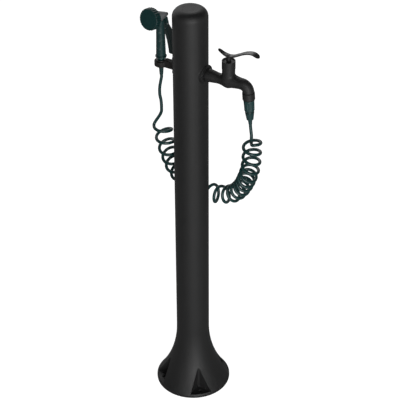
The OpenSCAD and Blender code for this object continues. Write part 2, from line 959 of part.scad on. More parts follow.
module connector_nut() {
    color(teal_colour)
        at_outlet()
            difference() {
                translate([0, 0, nut_bottom])
                    cylinder(r1 = nut_end_r, r2 = nut_top_r, h = nut_len);
                rod(stub_r + fit_gap, nut_bottom - past, nut_top + past);
            }
}

module connector_boot() {
    color(teal_colour)
        at_outlet()
            difference() {
                translate([0, 0, boot_bottom])
                    cylinder(r1 = hose_r + 0.3, r2 = boot_top_r, h = boot_len);
                rod(stub_bore_r, boot_bottom - past, nut_bottom + past);
            }
}

// Holder
module holder_arm_block() {
    translate([-holder_x, -arm_w / 2, arm_bottom])
        cube([holder_x - post_r + post_wall, arm_w, arm_top - arm_bottom]);
    translate([-flange_x - flange_t, -arm_w / 2, arm_bottom - flange_over])
        cube([flange_t + post_wall, arm_w, arm_top - arm_bottom + 2 * flange_over]);
    translate(grip_pos)
        rod(cup_out_r, arm_bottom, cup_top);
}

module gun_holder() {
    color(post_colour)
        difference() {
            holder_arm_block();
            rod(flange_x, 0, post_h);
            translate(grip_pos) {
                rod(cup_r, seat_z, arm_top + past);
                rod(slot_r, arm_bottom - past, arm_top);
                translate([-slot_r, 0, arm_bottom - past])
                    cube([2 * slot_r, 2 * cup_out_r, arm_top - arm_bottom + 2 * past]);
            }
            for (z = holder_screw_z)
                translate([0, 0, z])
                    rotate([0, -90, 0])
                        rod(holder_screw_r + fit_gap, hollow_r, post_r + 2 * flange_t + past);
        }
}

module holder_screws() {
    color(steel_colour)
        for (z = holder_screw_z)
            translate([0, 0, z])
                rotate([0, -90, 0]) {
                    rod(holder_screw_r, hollow_r - holder_nut_h - past, flange_x + flange_t);
                    rod(holder_screw_d * 0.9, flange_x + flange_t, flange_x + flange_t + holder_head_h);
                }
}

module holder_nuts() {
    color(steel_colour)
        for (z = holder_screw_z)
            translate([0, 0, z])
                rotate([0, -90, 0])
                    hex_ring(holder_screw_d * 0.9, holder_screw_r + fit_gap,
                        hollow_r - holder_nut_h - 2 * run_gap, hollow_r - 2 * run_gap);
}

// Spray gun
module gun_frame() {
    translate(grip_pos)
        rotate([0, 0, gun_turn])
            children();
}

module along_barrel() {
    gun_frame()
        translate([0, 0, barrel_z])
            rotate([90 - barrel_tilt, 0, 0])
                children();
}

// Turns a shape that stands on Z to lie along the valve's stem, with +Z to the front
module along_valve() {
    gun_frame()
        translate([0, 0, valve_z])
            rotate([90, 0, 0])
                children();
}

// A flat piece of the gun, drawn as distance behind the grip and height, across its width
module gun_slice(x0, width, outline) {
    gun_frame()
        translate([x0, 0, 0])
            rotate([90, 0, 90])
                linear_extrude(width)
                    polygon(outline);
}

// The two ears that hold the trigger's pin, and the web that joins them to the barrel
ear_outline = [for (p = [[-3.8, -4], [2, -4], [4.5, 0], [1, pivot_drop - 6], [-3.8, pivot_drop - 6]])
    p + [pivot_back, pivot_z]];
web_outline = [for (p = [[-3.8, eye_r + 1.4], [3.4, eye_r + 1.4], [1, pivot_drop - 6], [-3.8, pivot_drop - 6]])
    p + [pivot_back, pivot_z]];

module gun_body() {
    color(teal_colour)
        difference() {
            union() {
                along_barrel() {
                    translate([0, 0, -barrel_back])
                        cylinder(r1 = barrel_end_r, r2 = barrel_r, h = barrel_back + barrel_front);
                    rod(spigot_r, 0, barrel_front + spigot_reach);
                }
                gun_frame() {
                    rod(core_r, core_bottom, barrel_z);
                    rod(lip_r, lip_z, lip_z + lip_h);
                }
                gun_slice(ear_x, ear_t, ear_outline);
                gun_slice(-ear_end, ear_t, ear_outline);
                gun_slice(-ear_end, 2 * ear_end, web_outline);
            }
            along_barrel()
                rod(bore_r, 0, barrel_front + spigot_reach + past);
            along_barrel()
                ring(spigot_r + past, spigot_r - oring_t, head_seal_z, head_seal_z + oring_t);
            gun_frame()
                rod(bore_r - 1, core_bottom - past, barrel_z);
            gun_frame()
                translate([0, pivot_back, pivot_z])
                    rotate([0, 90, 0])
                        rod(pin_r + fit_gap, -ear_end - past, ear_end + past);
            along_valve() {
                rod(valve_bore_r, -valve_front, valve_front);
                rod(valve_stem_r + fit_gap, -core_r - past, 0);
            }
            along_barrel()
                rod(knob_r / 2 + fit_gap, -barrel_back - past, -barrel_back + knob_stem + past);
        }
}

function grip_at(z) = between(grip_r, grip_top_r, (z - lip_z - lip_h) / (grip_top - lip_z - lip_h));

module gun_grip() {
    color(dark_teal)
        difference() {
            gun_frame() {
                translate([0, 0, lip_z + lip_h])
                    cylinder(r1 = grip_r, r2 = grip_top_r, h = grip_top - lip_z - lip_h);
                for (k = [0:swells - 1])
                    let (z = lip_z + lip_h + 8 + (k + 0.5) * swell_step)
                    translate([0, -grip_at(z) - swell_out + swell_r, z])
                        sphere(r = swell_r);
            }
            gun_frame()
                rod(core_r + fit_gap, lip_z, barrel_z);
            along_barrel()
                translate([0, 0, -barrel_back])
                    cylinder(r1 = barrel_end_r + run_gap, r2 = barrel_r + run_gap, h = barrel_back + barrel_front);
            along_valve()
                rod(valve_stem_r + run_gap, -2 * grip_r, 0);
        }
}

module grip_coupling() {
    color(dark_teal)
        gun_frame()
            difference() {
                ring(coupling_r, core_r + fit_gap, coupling_bottom, coupling_top);
                for (k = [0:coupling_grooves - 1])
                    rotate([0, 0, 360 * k / coupling_grooves])
                        translate([coupling_r + groove_r / 2, 0, 0])
                            rod(groove_r, coupling_bottom + groove_end, coupling_top - groove_end);
            }
}

module gun_hose_nut() {
    color(teal_colour)
        gun_frame() {
            rod(gun_nut_r, coupling_bottom, core_bottom);
            translate([0, 0, gun_nut_bottom])
                cylinder(r1 = hose_r + 0.5, r2 = gun_nut_neck_r, h = gun_nut_len);
        }
}

// Rim of the spray head: a circle whose radius swells at each rib
rim_points = 6 * head_ribs;
rim_outline = [for (k = [0:rim_points - 1])
    let (a = 360 * k / rim_points, r = head_r - rib_out * (1 - cos(a * head_ribs)) / 2)
    r * [cos(a), sin(a)]];

module spray_head() {
    color(teal_colour)
        along_barrel()
            difference() {
                union() {
                    translate([0, 0, head_back])
                        cylinder(r1 = barrel_r, r2 = head_r - 2 * rib_out, h = cone_len);
                    translate([0, 0, head_back + cone_len])
                        linear_extrude(head_rim)
                            polygon(rim_outline);
                }
                rod(spigot_r + fit_gap, head_back - past, barrel_front + spigot_reach + run_gap);
                rod(bore_r, head_back, head_front);
                rod(plate_face_r + fit_gap, head_front - plate_face_t - plate_inset, head_front + past);
            }
}

module spray_plate() {
    color(teal_colour)
        along_barrel()
            difference() {
                rod(plate_face_r, head_front - plate_face_t - plate_inset, head_front - plate_inset);
                for (k = [0:spray_holes - 1])
                    rotate([0, 0, 360 * k / spray_holes])
                        translate([plate_face_r * spray_ring, 0, 0])
                            rod(spray_hole_r, head_front - 2 * plate_face_t, head_front);
            }
}

module head_seal() {
    color(rubber_colour)
        along_barrel()
            ring(spigot_r, spigot_r - oring_t + fit_gap, head_seal_z + fit_gap,
                head_seal_z + oring_t - fit_gap);
}

module flow_knob() {
    color(rubber_colour)
        along_barrel() {
            rod(knob_r, -barrel_back - run_gap - knob_len, -barrel_back - run_gap);
            rod(knob_r / 2, -barrel_back - run_gap - past, -barrel_back + knob_stem);
        }
}

// Trigger's side outline, as distances behind and above its pivot: the eye, the flat that
// pushes the valve's stem, the inner edge, the lower end and the outer edge
trigger_inner = [[pad_in, -valve_drop - pad_half], [5, -27], [11.5, -48], [15.8, -68], [17.2, -80]];
trigger_end = [[18.8, -82.5], [24.5, -82.5]];
trigger_outer = [[26.5, -79], [26, -66], [23.5, -47], [19, -25], [12.5, -11], [5.5, 0]];
trigger_outline = concat(
    [for (k = [0:edge_steps])
        let (a = 10 + 200 * k / edge_steps)
        eye_r * [cos(a), sin(a)]],
    [[pad_in, -valve_drop + pad_half]],
    smooth_line(trigger_inner, edge_steps),
    trigger_end,
    smooth_line(trigger_outer, edge_steps));

module trigger() {
    color(teal_colour)
        difference() {
            gun_slice(-trigger_w / 2, trigger_w, [for (p = trigger_outline) p + [pivot_back, pivot_z]]);
            gun_frame()
                translate([0, pivot_back, pivot_z])
                    rotate([0, 90, 0])
                        rod(pin_r + fit_gap, -trigger_w, trigger_w);
        }
}

module trigger_pin() {
    color(steel_colour)
        gun_frame()
            translate([0, pivot_back, pivot_z])
                rotate([0, 90, 0])
                    rod(pin_r, -ear_end, ear_end);
}

module valve_stem() {
    color(steel_colour)
        along_valve() {
            rod(valve_stem_r, -stem_tip, 0);
            rod(valve_head_r, -valve_head_t, 0);
        }
}

module valve_spring() {
    color(steel_colour)
        along_valve()
            ring(valve_head_r, valve_head_r - 1, valve_front - spring_len, valve_front);
}

module valve_plug() {
    color(rubber_colour)
        along_valve()
            rod(valve_stem_r, 0, 1);
}

// Hose: tubes swept along points
function steps_along(p) = [for (i = [0:len(p) - 1])
    unit(p[min(i + 1, len(p) - 1)] - p[max(i - 1, 0)])];
function side_of(t) = unit(cross(t, abs(t[1]) < 0.9 ? [0, 1, 0] : [1, 0, 0]));
function carried_sides(t) = [for (
    i = 0, n = side_of(t[0]);
    i < len(t);
    i = i + 1, n = i < len(t) ? unit(n - (n * t[i]) * t[i]) : n) n];

module tube(path, r, sides) {
    t = steps_along(path);
    n = carried_sides(t);
    last = len(path) - 1;
    rings = [for (i = [0:last]) for (k = [0:sides - 1])
        path[i] + r * (cos(360 * k / sides) * n[i] + sin(360 * k / sides) * cross(t[i], n[i]))];
    walls = [for (i = [0:last - 1]) for (k = [0:sides - 1]) for (half = [0, 1])
        let (a = i * sides + k, b = i * sides + (k + 1) % sides)
        half == 0 ? [a, a + sides, b] : [b, a + sides, b + sides]];
    ends = [for (k = [1:sides - 2]) for (end = [0, 1])
        end == 0 ? [0, k, k + 1] : [last * sides, last * sides + k + 1, last * sides + k]];
    polyhedron(points = rings, faces = concat(walls, ends));
}

// The curls: a left-handed helix round a bent middle line
axis_line = smooth_line(curl_axis, axis_steps);
axis_run = [for (
    i = 0, s = 0;
    i < len(axis_line);
    s = s + (i + 1 < len(axis_line) ? norm(axis_line[i + 1] - axis_line[i]) : 0), i = i + 1) s];
axis_len = axis_run[len(axis_run) - 1];

function axis_index(s) = min(len([for (a = axis_run) if (a <= s) 1]), len(axis_line) - 1) - 1;
function axis_point(s) =
    let (i = axis_index(s), t = (s - axis_run[i]) / (axis_run[i + 1] - axis_run[i]))
    between(axis_line[i], axis_line[i + 1], t);
function axis_step(s) =
    let (d = axis_len / 100)
    unit(axis_point(min(s + d, axis_len)) - axis_point(max(s - d, 0)));

function curl_point(turn) =
    let (
        u = turn / curls,
        s = axis_len * (u + curl_spread * u * (1 - u)),
        t = axis_step(s),
        n = unit(cross(t, [0, 1, 0])),
        a = curl_start + 360 * turn)
    axis_point(s) + curl_r * (cos(a) * n - sin(a) * cross(t, n));
curl_line = [for (k = [0:curls * curl_rings]) curl_point(k / curl_rings)];

// A lead from the end of a plain length, pointing down, into the end of the curls
function bend(a, b, c, d, t) =
    a * pow(1 - t, 3) + 3 * b * t * pow(1 - t, 2) + 3 * c * t * t * (1 - t) + d * pow(t, 3);
function lead(tail, first, second) =
    let (end = tail[len(tail) - 1], turn = end - [0, 0, hose_d])
    concat([end], [for (k = [0:lead_steps - 1])
        bend(turn, turn - [0, 0, lead_pull], first - lead_pull * unit(second - first), first, k / lead_steps)]);

last_curl = len(curl_line) - 1;
curl_path = concat(
    lead(gun_tail, curl_line[0], curl_line[1]),
    curl_line,
    reversed(lead(tap_tail, curl_line[last_curl], curl_line[last_curl - 1])));

// Least gap between one curl and another, measured on the path's points
curl_gap = min([for (i = [0:len(curl_path) - 1]) for (j = [i + curl_rings - 2:1:len(curl_path) - 1])
    norm(curl_path[i] - curl_path[j])]) - hose_d;
echo(least_gap_of_the_curls = curl_gap);

module hose_coil() {
    color(dark_teal)
        tube(curl_path, hose_r, curl_sides);
}

module hose_gun_tail() {
    color(dark_teal)
        tube(gun_tail, hose_r, tail_sides);
}

module hose_tap_tail() {
    color(dark_teal)
        tube(tap_tail, hose_r, tail_sides);
}

column();
top_badge();
inlet_plate();
plate_screws();
inlet_nipple();
inlet_locknut();
riser_hose();
hose_clips();
shank_elbow();
shank_locknut();
tap_rosette();
tap_body();
tap_bonnet();
cartridge_sleeve();
fixed_disc();
moving_disc();
spindle();
spindle_seal();
tap_lever();
lever_screw();
spout_collar();
nipple_seal();
connector_body();
connector_sleeve();
connector_jaws();
connector_nut();
connector_boot();
gun_holder();
holder_screws();
holder_nuts();
gun_body();
gun_grip();
grip_coupling();
gun_hose_nut();
spray_head();
spray_plate();
head_seal();
flow_knob();
trigger();
trigger_pin();
valve_stem();
valve_spring();
valve_plug();
hose_gun_tail();
hose_coil();
hose_tap_tail();
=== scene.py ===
# %% [markdown]
# # A garden standpipe, dressed in Blender
#
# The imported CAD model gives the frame: a hollow post, a lever tap, a spray gun in a bracket.
# This script sets the camera of the photograph, lays the curly hose, and then gives every
# piece its finish. All sizes are in metres, in the CAD model's own frame.

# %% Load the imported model
import json
from math import cos, pi, radians, sin

import bmesh
import bpy
from mathutils import Matrix, Vector


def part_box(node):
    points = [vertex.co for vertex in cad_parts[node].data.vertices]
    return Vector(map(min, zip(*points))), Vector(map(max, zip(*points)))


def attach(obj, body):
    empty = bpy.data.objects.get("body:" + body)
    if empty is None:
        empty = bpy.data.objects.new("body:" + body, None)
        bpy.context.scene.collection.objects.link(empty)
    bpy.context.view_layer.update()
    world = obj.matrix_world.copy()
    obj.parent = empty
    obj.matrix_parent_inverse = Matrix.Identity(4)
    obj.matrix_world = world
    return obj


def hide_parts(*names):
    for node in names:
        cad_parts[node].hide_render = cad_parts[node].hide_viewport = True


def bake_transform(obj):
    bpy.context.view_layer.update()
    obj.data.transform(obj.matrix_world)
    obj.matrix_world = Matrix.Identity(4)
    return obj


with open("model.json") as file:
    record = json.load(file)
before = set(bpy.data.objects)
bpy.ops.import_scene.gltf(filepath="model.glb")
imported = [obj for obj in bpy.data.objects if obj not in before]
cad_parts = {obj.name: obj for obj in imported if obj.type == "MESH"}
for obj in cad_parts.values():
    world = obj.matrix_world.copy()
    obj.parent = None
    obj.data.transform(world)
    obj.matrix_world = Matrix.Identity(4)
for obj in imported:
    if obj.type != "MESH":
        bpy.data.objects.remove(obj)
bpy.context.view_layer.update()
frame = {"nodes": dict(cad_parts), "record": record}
nodes = frame["nodes"]
scene = bpy.context.scene

# %% [markdown]
# ## Camera
#
# The photograph looks down by 34.5 degrees, from 32 degrees to the right of the front.
# A long lens keeps the post's sides almost parallel. The picture leans by a third of a degree.

# %% Camera
side_turn = radians(32)
look_down = radians(34.5)
lean = radians(-0.307)
right = Vector((cos(side_turn), sin(side_turn), 0))
ahead = Vector((-sin(side_turn) * cos(look_down), cos(side_turn) * cos(look_down), -sin(look_down)))
up = right.cross(ahead)
lean_right = right * cos(lean) + up * sin(lean)
lean_up = up * cos(lean) - right * sin(lean)
camera_data = bpy.data.cameras.new("camera")
camera_data.lens = 135
camera_data.sensor_width = 36
camera_data.clip_end = 50
camera_place = (1.4767, -2.3287, 2.4069)
camera_turn = Matrix((lean_right, lean_up, -ahead)).transposed().to_4x4()
camera = bpy.data.objects.new("camera", camera_data)
camera.matrix_world = Matrix.Translation(camera_place) @ camera_turn
scene.collection.objects.link(camera)
scene.camera = camera
scene.view_settings.view_transform = "Standard"
print("camera at", [round(x, 3) for x in camera.location])

# %% [markdown]
# ## Curly hose
#
# The hose is one tube. It leaves the connector under the tap, curls behind the post and rises
# to the gun. The curls turn round a bent middle line, spaced a little wider at the gun's end,
# and a short bend leads into them from each plain length. The points are those of the CAD source.

# %% Hose sizes and route
hose_d = 0.007
curl_r = 0.0185
curls = 20
curl_spread = 0.1
curl_start = radians(212)
lead_pull = 0.013
gun_nut_bottom = 0.8123
boot_bottom = 0.7559
outlet_tilt = radians(4.5)
spout_bend_x = 0.126
spout_bend_z = 0.833
spout_bend_r = 0.015


def points(*rows):
    return [Vector(row) / 1000 for row in rows]


def outlet_at(z):
    """A point on the leaning middle line of the tap's outlet, z measured before the lean."""
    drop = spout_bend_z - z
    return Vector((spout_bend_x + spout_bend_r * cos(outlet_tilt) + drop * sin(outlet_tilt), 0,
                   spout_bend_z + spout_bend_r * sin(outlet_tilt) - drop * cos(outlet_tilt)))


curl_axis = points(
    (-74, -1, 686), (-71.5, -0.5, 671), (-69, 0, 656), (-65, 3, 632), (-62, 12, 602), (-58.5, 24.5, 568),
    (-50, 39.5, 538), (-28, 58, 514), (0, 65, 502), (27, 64, 501), (50, 63, 509), (69, 60, 519),
    (86, 52, 536), (104.5, 40, 560), (119, 28, 584), (130, 17, 604), (140, 8, 625), (146.5, 4, 645),
    (150.5, 1, 668), (152, 0, 692), (152, 0, 717.5))
gun_tail = [Vector((-0.074, 0, gun_nut_bottom)), Vector((-0.074, 0, gun_nut_bottom - hose_d))] + points(
    (-76, -1, 793), (-78, -2, 778), (-78, -2, 762), (-76, -1, 748), (-75, -1, 737), (-75, -1, 730))
tap_tail = [outlet_at(boot_bottom), outlet_at(boot_bottom - hose_d)] + points(
    (149.3, -1, 742), (150.8, -2, 736), (151.5, -2.5, 731), (151.5, -2.5, 726))
print("points on the curls' middle line:", len(curl_axis))

# %% [markdown]
# A smooth line runs through the chosen points. Walking along it by length gives the middle of
# each curl, and the curl's own circle is added square to the line there.

# %% Hose path


def smooth(line, steps):
    made = []
    for i in range(len(line) - 1):
        a = line[max(i - 1, 0)]
        b = line[i]
        c = line[i + 1]
        d = line[min(i + 2, len(line) - 1)]
        for k in range(steps):
            t = k / steps
            made.append(b + t * (c - a) / 2 + t * t * (a - 2.5 * b + 2 * c - d / 2)
                        + t ** 3 * (1.5 * (b - c) + (d - a) / 2))
    return made + [line[-1].copy()]


axis_line = smooth(curl_axis, 8)
axis_run = [0.0]
for i in range(1, len(axis_line)):
    axis_run.append(axis_run[-1] + (axis_line[i] - axis_line[i - 1]).length)
axis_len = axis_run[-1]


def axis_point(s):
    i = 0
    while i < len(axis_run) - 2 and axis_run[i + 1] <= s:
        i += 1
    t = (s - axis_run[i]) / (axis_run[i + 1] - axis_run[i])
    return axis_line[i].lerp(axis_line[i + 1], t)


def axis_step(s):
    d = axis_len / 100
    return (axis_point(min(s + d, axis_len)) - axis_point(max(s - d, 0))).normalized()


def curl_point(turn):
    share = turn / curls
    s = axis_len * (share + curl_spread * share * (1 - share))
    along = axis_step(s)
    out = along.cross(Vector((0, 1, 0))).normalized()
    a = curl_start + 2 * pi * turn
    return axis_point(s) + curl_r * (cos(a) * out - sin(a) * along.cross(out))


def lead(tail, first, second, steps):
    end = tail[-1] - Vector((0, 0, hose_d))
    pull_end = end - Vector((0, 0, lead_pull))
    pull_first = first - lead_pull * (second - first).normalized()
    made = []
    for k in range(steps):
        t = k / steps
        made.append(end * (1 - t) ** 3 + 3 * pull_end * t * (1 - t) ** 2
                    + 3 * pull_first * t * t * (1 - t) + first * t ** 3)
    return made


rings_in_curl = 24
rings_in_lead = 14
rings_in_tail = 5
curl_line = [curl_point(k / rings_in_curl) for k in range(curls * rings_in_curl + 1)]
lead_in = lead(gun_tail, curl_line[0], curl_line[1], rings_in_lead)
lead_out = lead(tap_tail, curl_line[-1], curl_line[-2], rings_in_lead)
hose_path = (smooth(tap_tail, rings_in_tail) + lead_out + curl_line[::-1] + lead_in[::-1]
             + smooth(gun_tail, rings_in_tail)[::-1])

# %% [markdown]
# The tube is swept along that path. Each ring carries its side over from the ring before it,
# so the tube never twists. A bevelled curve would do the same.

# %% Hose mesh
dressed = []
hose_sides = 14


def make_object(name, mesh, body, slot, *stands_for):
    piece = bpy.data.objects.new(name, mesh)
    scene.collection.objects.link(piece)
    if body:
        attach(piece, body)
    if stands_for:
        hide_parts(*stands_for)
    for face in mesh.polygons:
        face.use_smooth = True
    dressed.append((piece, slot))
    return piece


def tube_mesh(name, path, radius, sides):
    steps = [(path[min(i + 1, len(path) - 1)] - path[max(i - 1, 0)]).normalized() for i in range(len(path))]
    out = steps[0].cross(Vector((0, 1, 0))).normalized()
    corners = []
    for place, step in zip(path, steps):
        out = (out - out.dot(step) * step).normalized()
        other = step.cross(out)
        for k in range(sides):
            a = 2 * pi * k / sides
            corners.append(place + radius * (cos(a) * out + sin(a) * other))
    faces = []
    for i in range(len(path) - 1):
        for k in range(sides):
            here = i * sides + k
            beside = i * sides + (k + 1) % sides
            faces.append((here, beside, beside + sides, here + sides))
    faces.append(tuple(range(sides - 1, -1, -1)))
    faces.append(tuple(range(len(corners) - sides, len(corners))))
    mesh = bpy.data.meshes.new(name)
    mesh.from_pydata(corners, [], faces)
    return mesh


hose_mesh = tube_mesh("curly_hose", hose_path, hose_d / 2, hose_sides)
hose = make_object("curly_hose", hose_mesh, None, "hose_tube", "hose_gun_tail", "hose_coil", "hose_tap_tail")
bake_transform(hose)
print("hose rings:", len(hose_path))

# %% [markdown]
# ## Cast and moulded pieces
#
# The tap's body is one casting, and the lever, gun, trigger and bracket are mouldings. On the
# real pieces every inner corner is filled and every edge is round. A bevel can't follow corners
# where round forms run into each other, so each piece is a copy of its CAD mesh that is rebuilt
# from small cells and then relaxed, which fills corners and rounds edges alike.

# %% Soft copies


def cells_of(node, cell):
    """A copy of a node's mesh, rebuilt from even cells."""
    rough_piece = bpy.data.objects.new("rough", nodes[node].data.copy())
    scene.collection.objects.link(rough_piece)
    rebuild = rough_piece.modifiers.new("rebuild", "REMESH")
    rebuild.mode = "VOXEL"
    rebuild.voxel_size = cell
    ready = rough_piece.evaluated_get(bpy.context.evaluated_depsgraph_get())
    made = bmesh.new()
    made.from_mesh(ready.to_mesh())
    ready.to_mesh_clear()
    bpy.data.objects.remove(rough_piece)
    return made


def relax(made, passes, wanted=None):
    """Even out the points for which wanted is true, or all of them."""
    chosen = [v for v in made.verts if wanted is None or wanted(v.co)]
    for _ in range(passes):
        bmesh.ops.smooth_vert(made, verts=chosen, factor=0.5,
                              use_axis_x=True, use_axis_y=True, use_axis_z=True)


def soft_piece(name, node, made, body, slot):
    mesh = bpy.data.meshes.new(name)
    made.to_mesh(mesh)
    made.free()
    print(name, "faces:", len(mesh.polygons))
    return make_object(name, mesh, body, slot, node)


def mould(name, node, cell, passes, body, slot):
    made = cells_of(node, cell)
    relax(made, passes)
    return soft_piece(name, node, made, body, slot)


# %% [markdown]
# The tap's casting keeps its machined ends crisp: only points near the valve chamber, where
# spigot, chamber and spout meet, are relaxed for long.

# %% Tap body and lever
chamber = Vector((0.093, 0, 0.846))
chamber_reach = 0.034
chamber_top_z = 0.862
boss_end_x = 0.044
neck_top_z = 0.872
tap_cast = cells_of("tap_body", 0.0009)
relax(tap_cast, 60, lambda p: (p - chamber).length < chamber_reach and p.z < chamber_top_z)
relax(tap_cast, 4, lambda p: boss_end_x < p.x and p.z < neck_top_z)
soft_piece("tap_casting", "tap_body", tap_cast, "post", "tap_metal")
mould("lever_casting", "tap_lever", 0.00055, 14, "lever", "lever_metal")

# %% [markdown]
# The gun, its grip, the trigger and the bracket are relaxed all over. More passes give rounder
# edges: the soft grip gets the most, and the gun's moulding, which guides the turning head, few.

# %% Gun, trigger and bracket
gun = mould("gun_moulding", "gun_body", 0.0006, 5, "gun", "barrel_plastic")
mould("grip_cover", "gun_grip", 0.0006, 10, "gun", "teal_rubber")
mould("trigger_moulding", "trigger", 0.0006, 7, "trigger", "dark_teal_plastic")
mould("holder_moulding", "gun_holder", 0.0008, 6, "post", "holder_plastic")

# %% [markdown]
# ## Spray head
#
# The head is turned by hand, so its rim carries finger ribs. Rings of points are stacked along
# the barrel's axis. The ribs are a wave in the rings' radius that fades out towards the
# rounded front and back edges, which a straight extrusion can't do.

# %% Ringed pieces


def ringed_mesh(name, origin, along, rows, waves, wave_depth, sides):
    """Rings (distance, radius, share of the wave) along an axis, joined into a closed skin."""
    along = along.normalized()
    out = along.orthogonal().normalized()
    other = along.cross(out)
    corners = []
    for distance, radius, share in rows:
        for k in range(sides):
            a = 2 * pi * k / sides
            reach = radius - wave_depth * share * (1 - cos(waves * a)) / 2
            corners.append(origin + along * distance + reach * (cos(a) * out + sin(a) * other))
    faces = []
    for i in range(len(rows)):
        following = (i + 1) % len(rows)
        for k in range(sides):
            beside = (k + 1) % sides
            faces.append((i * sides + k, i * sides + beside,
                          following * sides + beside, following * sides + k))
    mesh = bpy.data.meshes.new(name)
    mesh.from_pydata(corners, [], faces)
    mesh.update()
    return mesh


barrel_middle = Vector((-0.074, 0, 0.9515))
barrel_along = Vector((-0.102778, -0.977869, 0.182236))
head_cone = [
    (0.0143, 0.0091, 0), (0.0143, 0.0135, 0), (0.0147, 0.0141, 0), (0.0185, 0.0167, 0),
    (0.0225, 0.0197, 0), (0.0240, 0.0212, 0)]
head_rim = [
    (0.0246, 0.0224, 0.25), (0.0252, 0.0232, 0.6), (0.0262, 0.02365, 0.9), (0.0275, 0.0238, 1),
    (0.0320, 0.0238, 1), (0.0365, 0.0238, 1), (0.0382, 0.02365, 0.95), (0.0392, 0.0232, 0.7),
    (0.0397, 0.0226, 0.35)]
head_front = [
    (0.0398, 0.0220, 0), (0.0397, 0.02155, 0), (0.0393, 0.0213, 0), (0.0359, 0.0213, 0), (0.0359, 0.0091, 0)]
head_rows = head_cone + head_rim + head_front
head_ribs = 26
rib_depth = 0.0014
points_per_rib = 12
head_mesh = ringed_mesh("ribbed_head", barrel_middle, barrel_along, head_rows, head_ribs, rib_depth,
                        head_ribs * points_per_rib)
make_object("ribbed_head", head_mesh, "head", "teal_plastic", "spray_head")
print("head rings:", len(head_rows))

# %% [markdown]
# The pull-back sleeve of the snap connector is a slightly tapered ring with shallow flutes for
# the fingers. It is made in the same way, on the leaning axis of the tap's outlet.

# %% Connector sleeve
sleeve_low, sleeve_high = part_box("connector_sleeve")
outlet_down = (outlet_at(0.7) - outlet_at(0.8)).normalized()
sleeve_top = outlet_at(0.8142)
sleeve_rows = [
    (0, 0.0102, 0), (0, 0.0108, 0), (0.0003, 0.0113, 0), (0.001, 0.0116, 0), (0.0028, 0.0116, 0),
    (0.0042, 0.01155, 0.6), (0.006, 0.0115, 1), (0.012, 0.0113, 1), (0.018, 0.0111, 1),
    (0.0205, 0.011, 0.6), (0.022, 0.0109, 0), (0.0238, 0.0108, 0), (0.0246, 0.0106, 0), (0.025, 0.0102, 0)]
sleeve_flutes = 14
flute_depth = 0.0006
points_per_flute = 12
sleeve_mesh = ringed_mesh("fluted_sleeve", sleeve_top, outlet_down, sleeve_rows, sleeve_flutes, flute_depth,
                          sleeve_flutes * points_per_flute)
make_object("fluted_sleeve", sleeve_mesh, "sleeve", "connector_plastic", "connector_sleeve")
print("sleeve from", round(sleeve_low.z, 4), "to", round(sleeve_high.z, 4))

# %% [markdown]
# ## Finishes
#
# One helper makes every finish: a base colour that drifts a little, a roughness that varies
# with it, a fine bump for the moulding or the coat, softened edges, and a paler tone painted
# along every edge as a highlight. The edge is found by comparing the softened normal with the true one.
# On a Mix node set to colours, sockets 6 and 7 are the two colours and output 2 is their mix.

# %% Finish helper


# The last argument sets how pale the painted highlight along edges is.
def finish(name, colour, rough, grain, bump, drift=0.12, metal=0.0, level=0.5, edge=0.0006, painted_edge_light=0.5):
    made = bpy.data.materials.new(name)
    made.use_nodes = True
    tree = made.node_tree
    shader = tree.nodes["Principled BSDF"]
    shader.inputs["Metallic"].default_value = metal
    shader.inputs["Specular IOR Level"].default_value = level
    place = tree.nodes.new("ShaderNodeTexCoord")
    cloud = tree.nodes.new("ShaderNodeTexNoise")
    cloud.inputs["Scale"].default_value = 28
    cloud.inputs["Detail"].default_value = 4
    tree.links.new(place.outputs["Object"], cloud.inputs["Vector"])
    tint = tree.nodes.new("ShaderNodeValToRGB")
    low, high = tint.color_ramp.elements
    low.position = 0.3
    high.position = 0.7
    low.color = [c * (1 - drift) for c in colour] + [1]
    high.color = [c * (1 + drift) for c in colour] + [1]
    tree.links.new(cloud.outputs["Fac"], tint.inputs["Fac"])
    spread = tree.nodes.new("ShaderNodeMapRange")
    spread.inputs["To Min"].default_value = rough - 0.06
    spread.inputs["To Max"].default_value = rough + 0.06
    tree.links.new(cloud.outputs["Fac"], spread.inputs["Value"])
    tree.links.new(spread.outputs["Result"], shader.inputs["Roughness"])
    grit = tree.nodes.new("ShaderNodeTexNoise")
    grit.inputs["Scale"].default_value = grain
    grit.inputs["Detail"].default_value = 2
    tree.links.new(place.outputs["Object"], grit.inputs["Vector"])
    relief = tree.nodes.new("ShaderNodeBump")
    relief.inputs["Strength"].default_value = bump
    relief.inputs["Distance"].default_value = 0.0004
    tree.links.new(grit.outputs["Fac"], relief.inputs["Height"])
    soft = tree.nodes.new("ShaderNodeBevel")
    soft.samples = 6
    soft.inputs["Radius"].default_value = edge
    tree.links.new(soft.outputs["Normal"], relief.inputs["Normal"])
    tree.links.new(relief.outputs["Normal"], shader.inputs["Normal"])
    surface = tree.nodes.new("ShaderNodeNewGeometry")
    agree = tree.nodes.new("ShaderNodeVectorMath")
    agree.operation = "DOT_PRODUCT"
    tree.links.new(surface.outputs["True Normal"], agree.inputs[0])
    tree.links.new(soft.outputs["Normal"], agree.inputs[1])
    # Painted highlight: where the softened normal turns away from the true one, at an edge, the colour is
    # mixed towards a paler tone.
    edge_highlight_share = tree.nodes.new("ShaderNodeMapRange")
    edge_highlight_share.inputs["From Min"].default_value = 0.985
    edge_highlight_share.inputs["From Max"].default_value = 0.86
    edge_highlight_share.inputs["To Max"].default_value = painted_edge_light
    tree.links.new(agree.outputs["Value"], edge_highlight_share.inputs["Value"])
    # The paler colour painted on edges stands in for the light that rounded edges catch.
    edge_highlight_mix = tree.nodes.new("ShaderNodeMix")
    edge_highlight_mix.data_type = "RGBA"
    edge_highlight_mix.inputs[7].default_value = [min(1, c * 2.2 + 0.004) for c in colour] + [1]
    tree.links.new(edge_highlight_share.outputs["Result"], edge_highlight_mix.inputs[0])
    tree.links.new(tint.outputs["Color"], edge_highlight_mix.inputs[6])
    tree.links.new(edge_highlight_mix.outputs[2], shader.inputs["Base Color"])
    return made
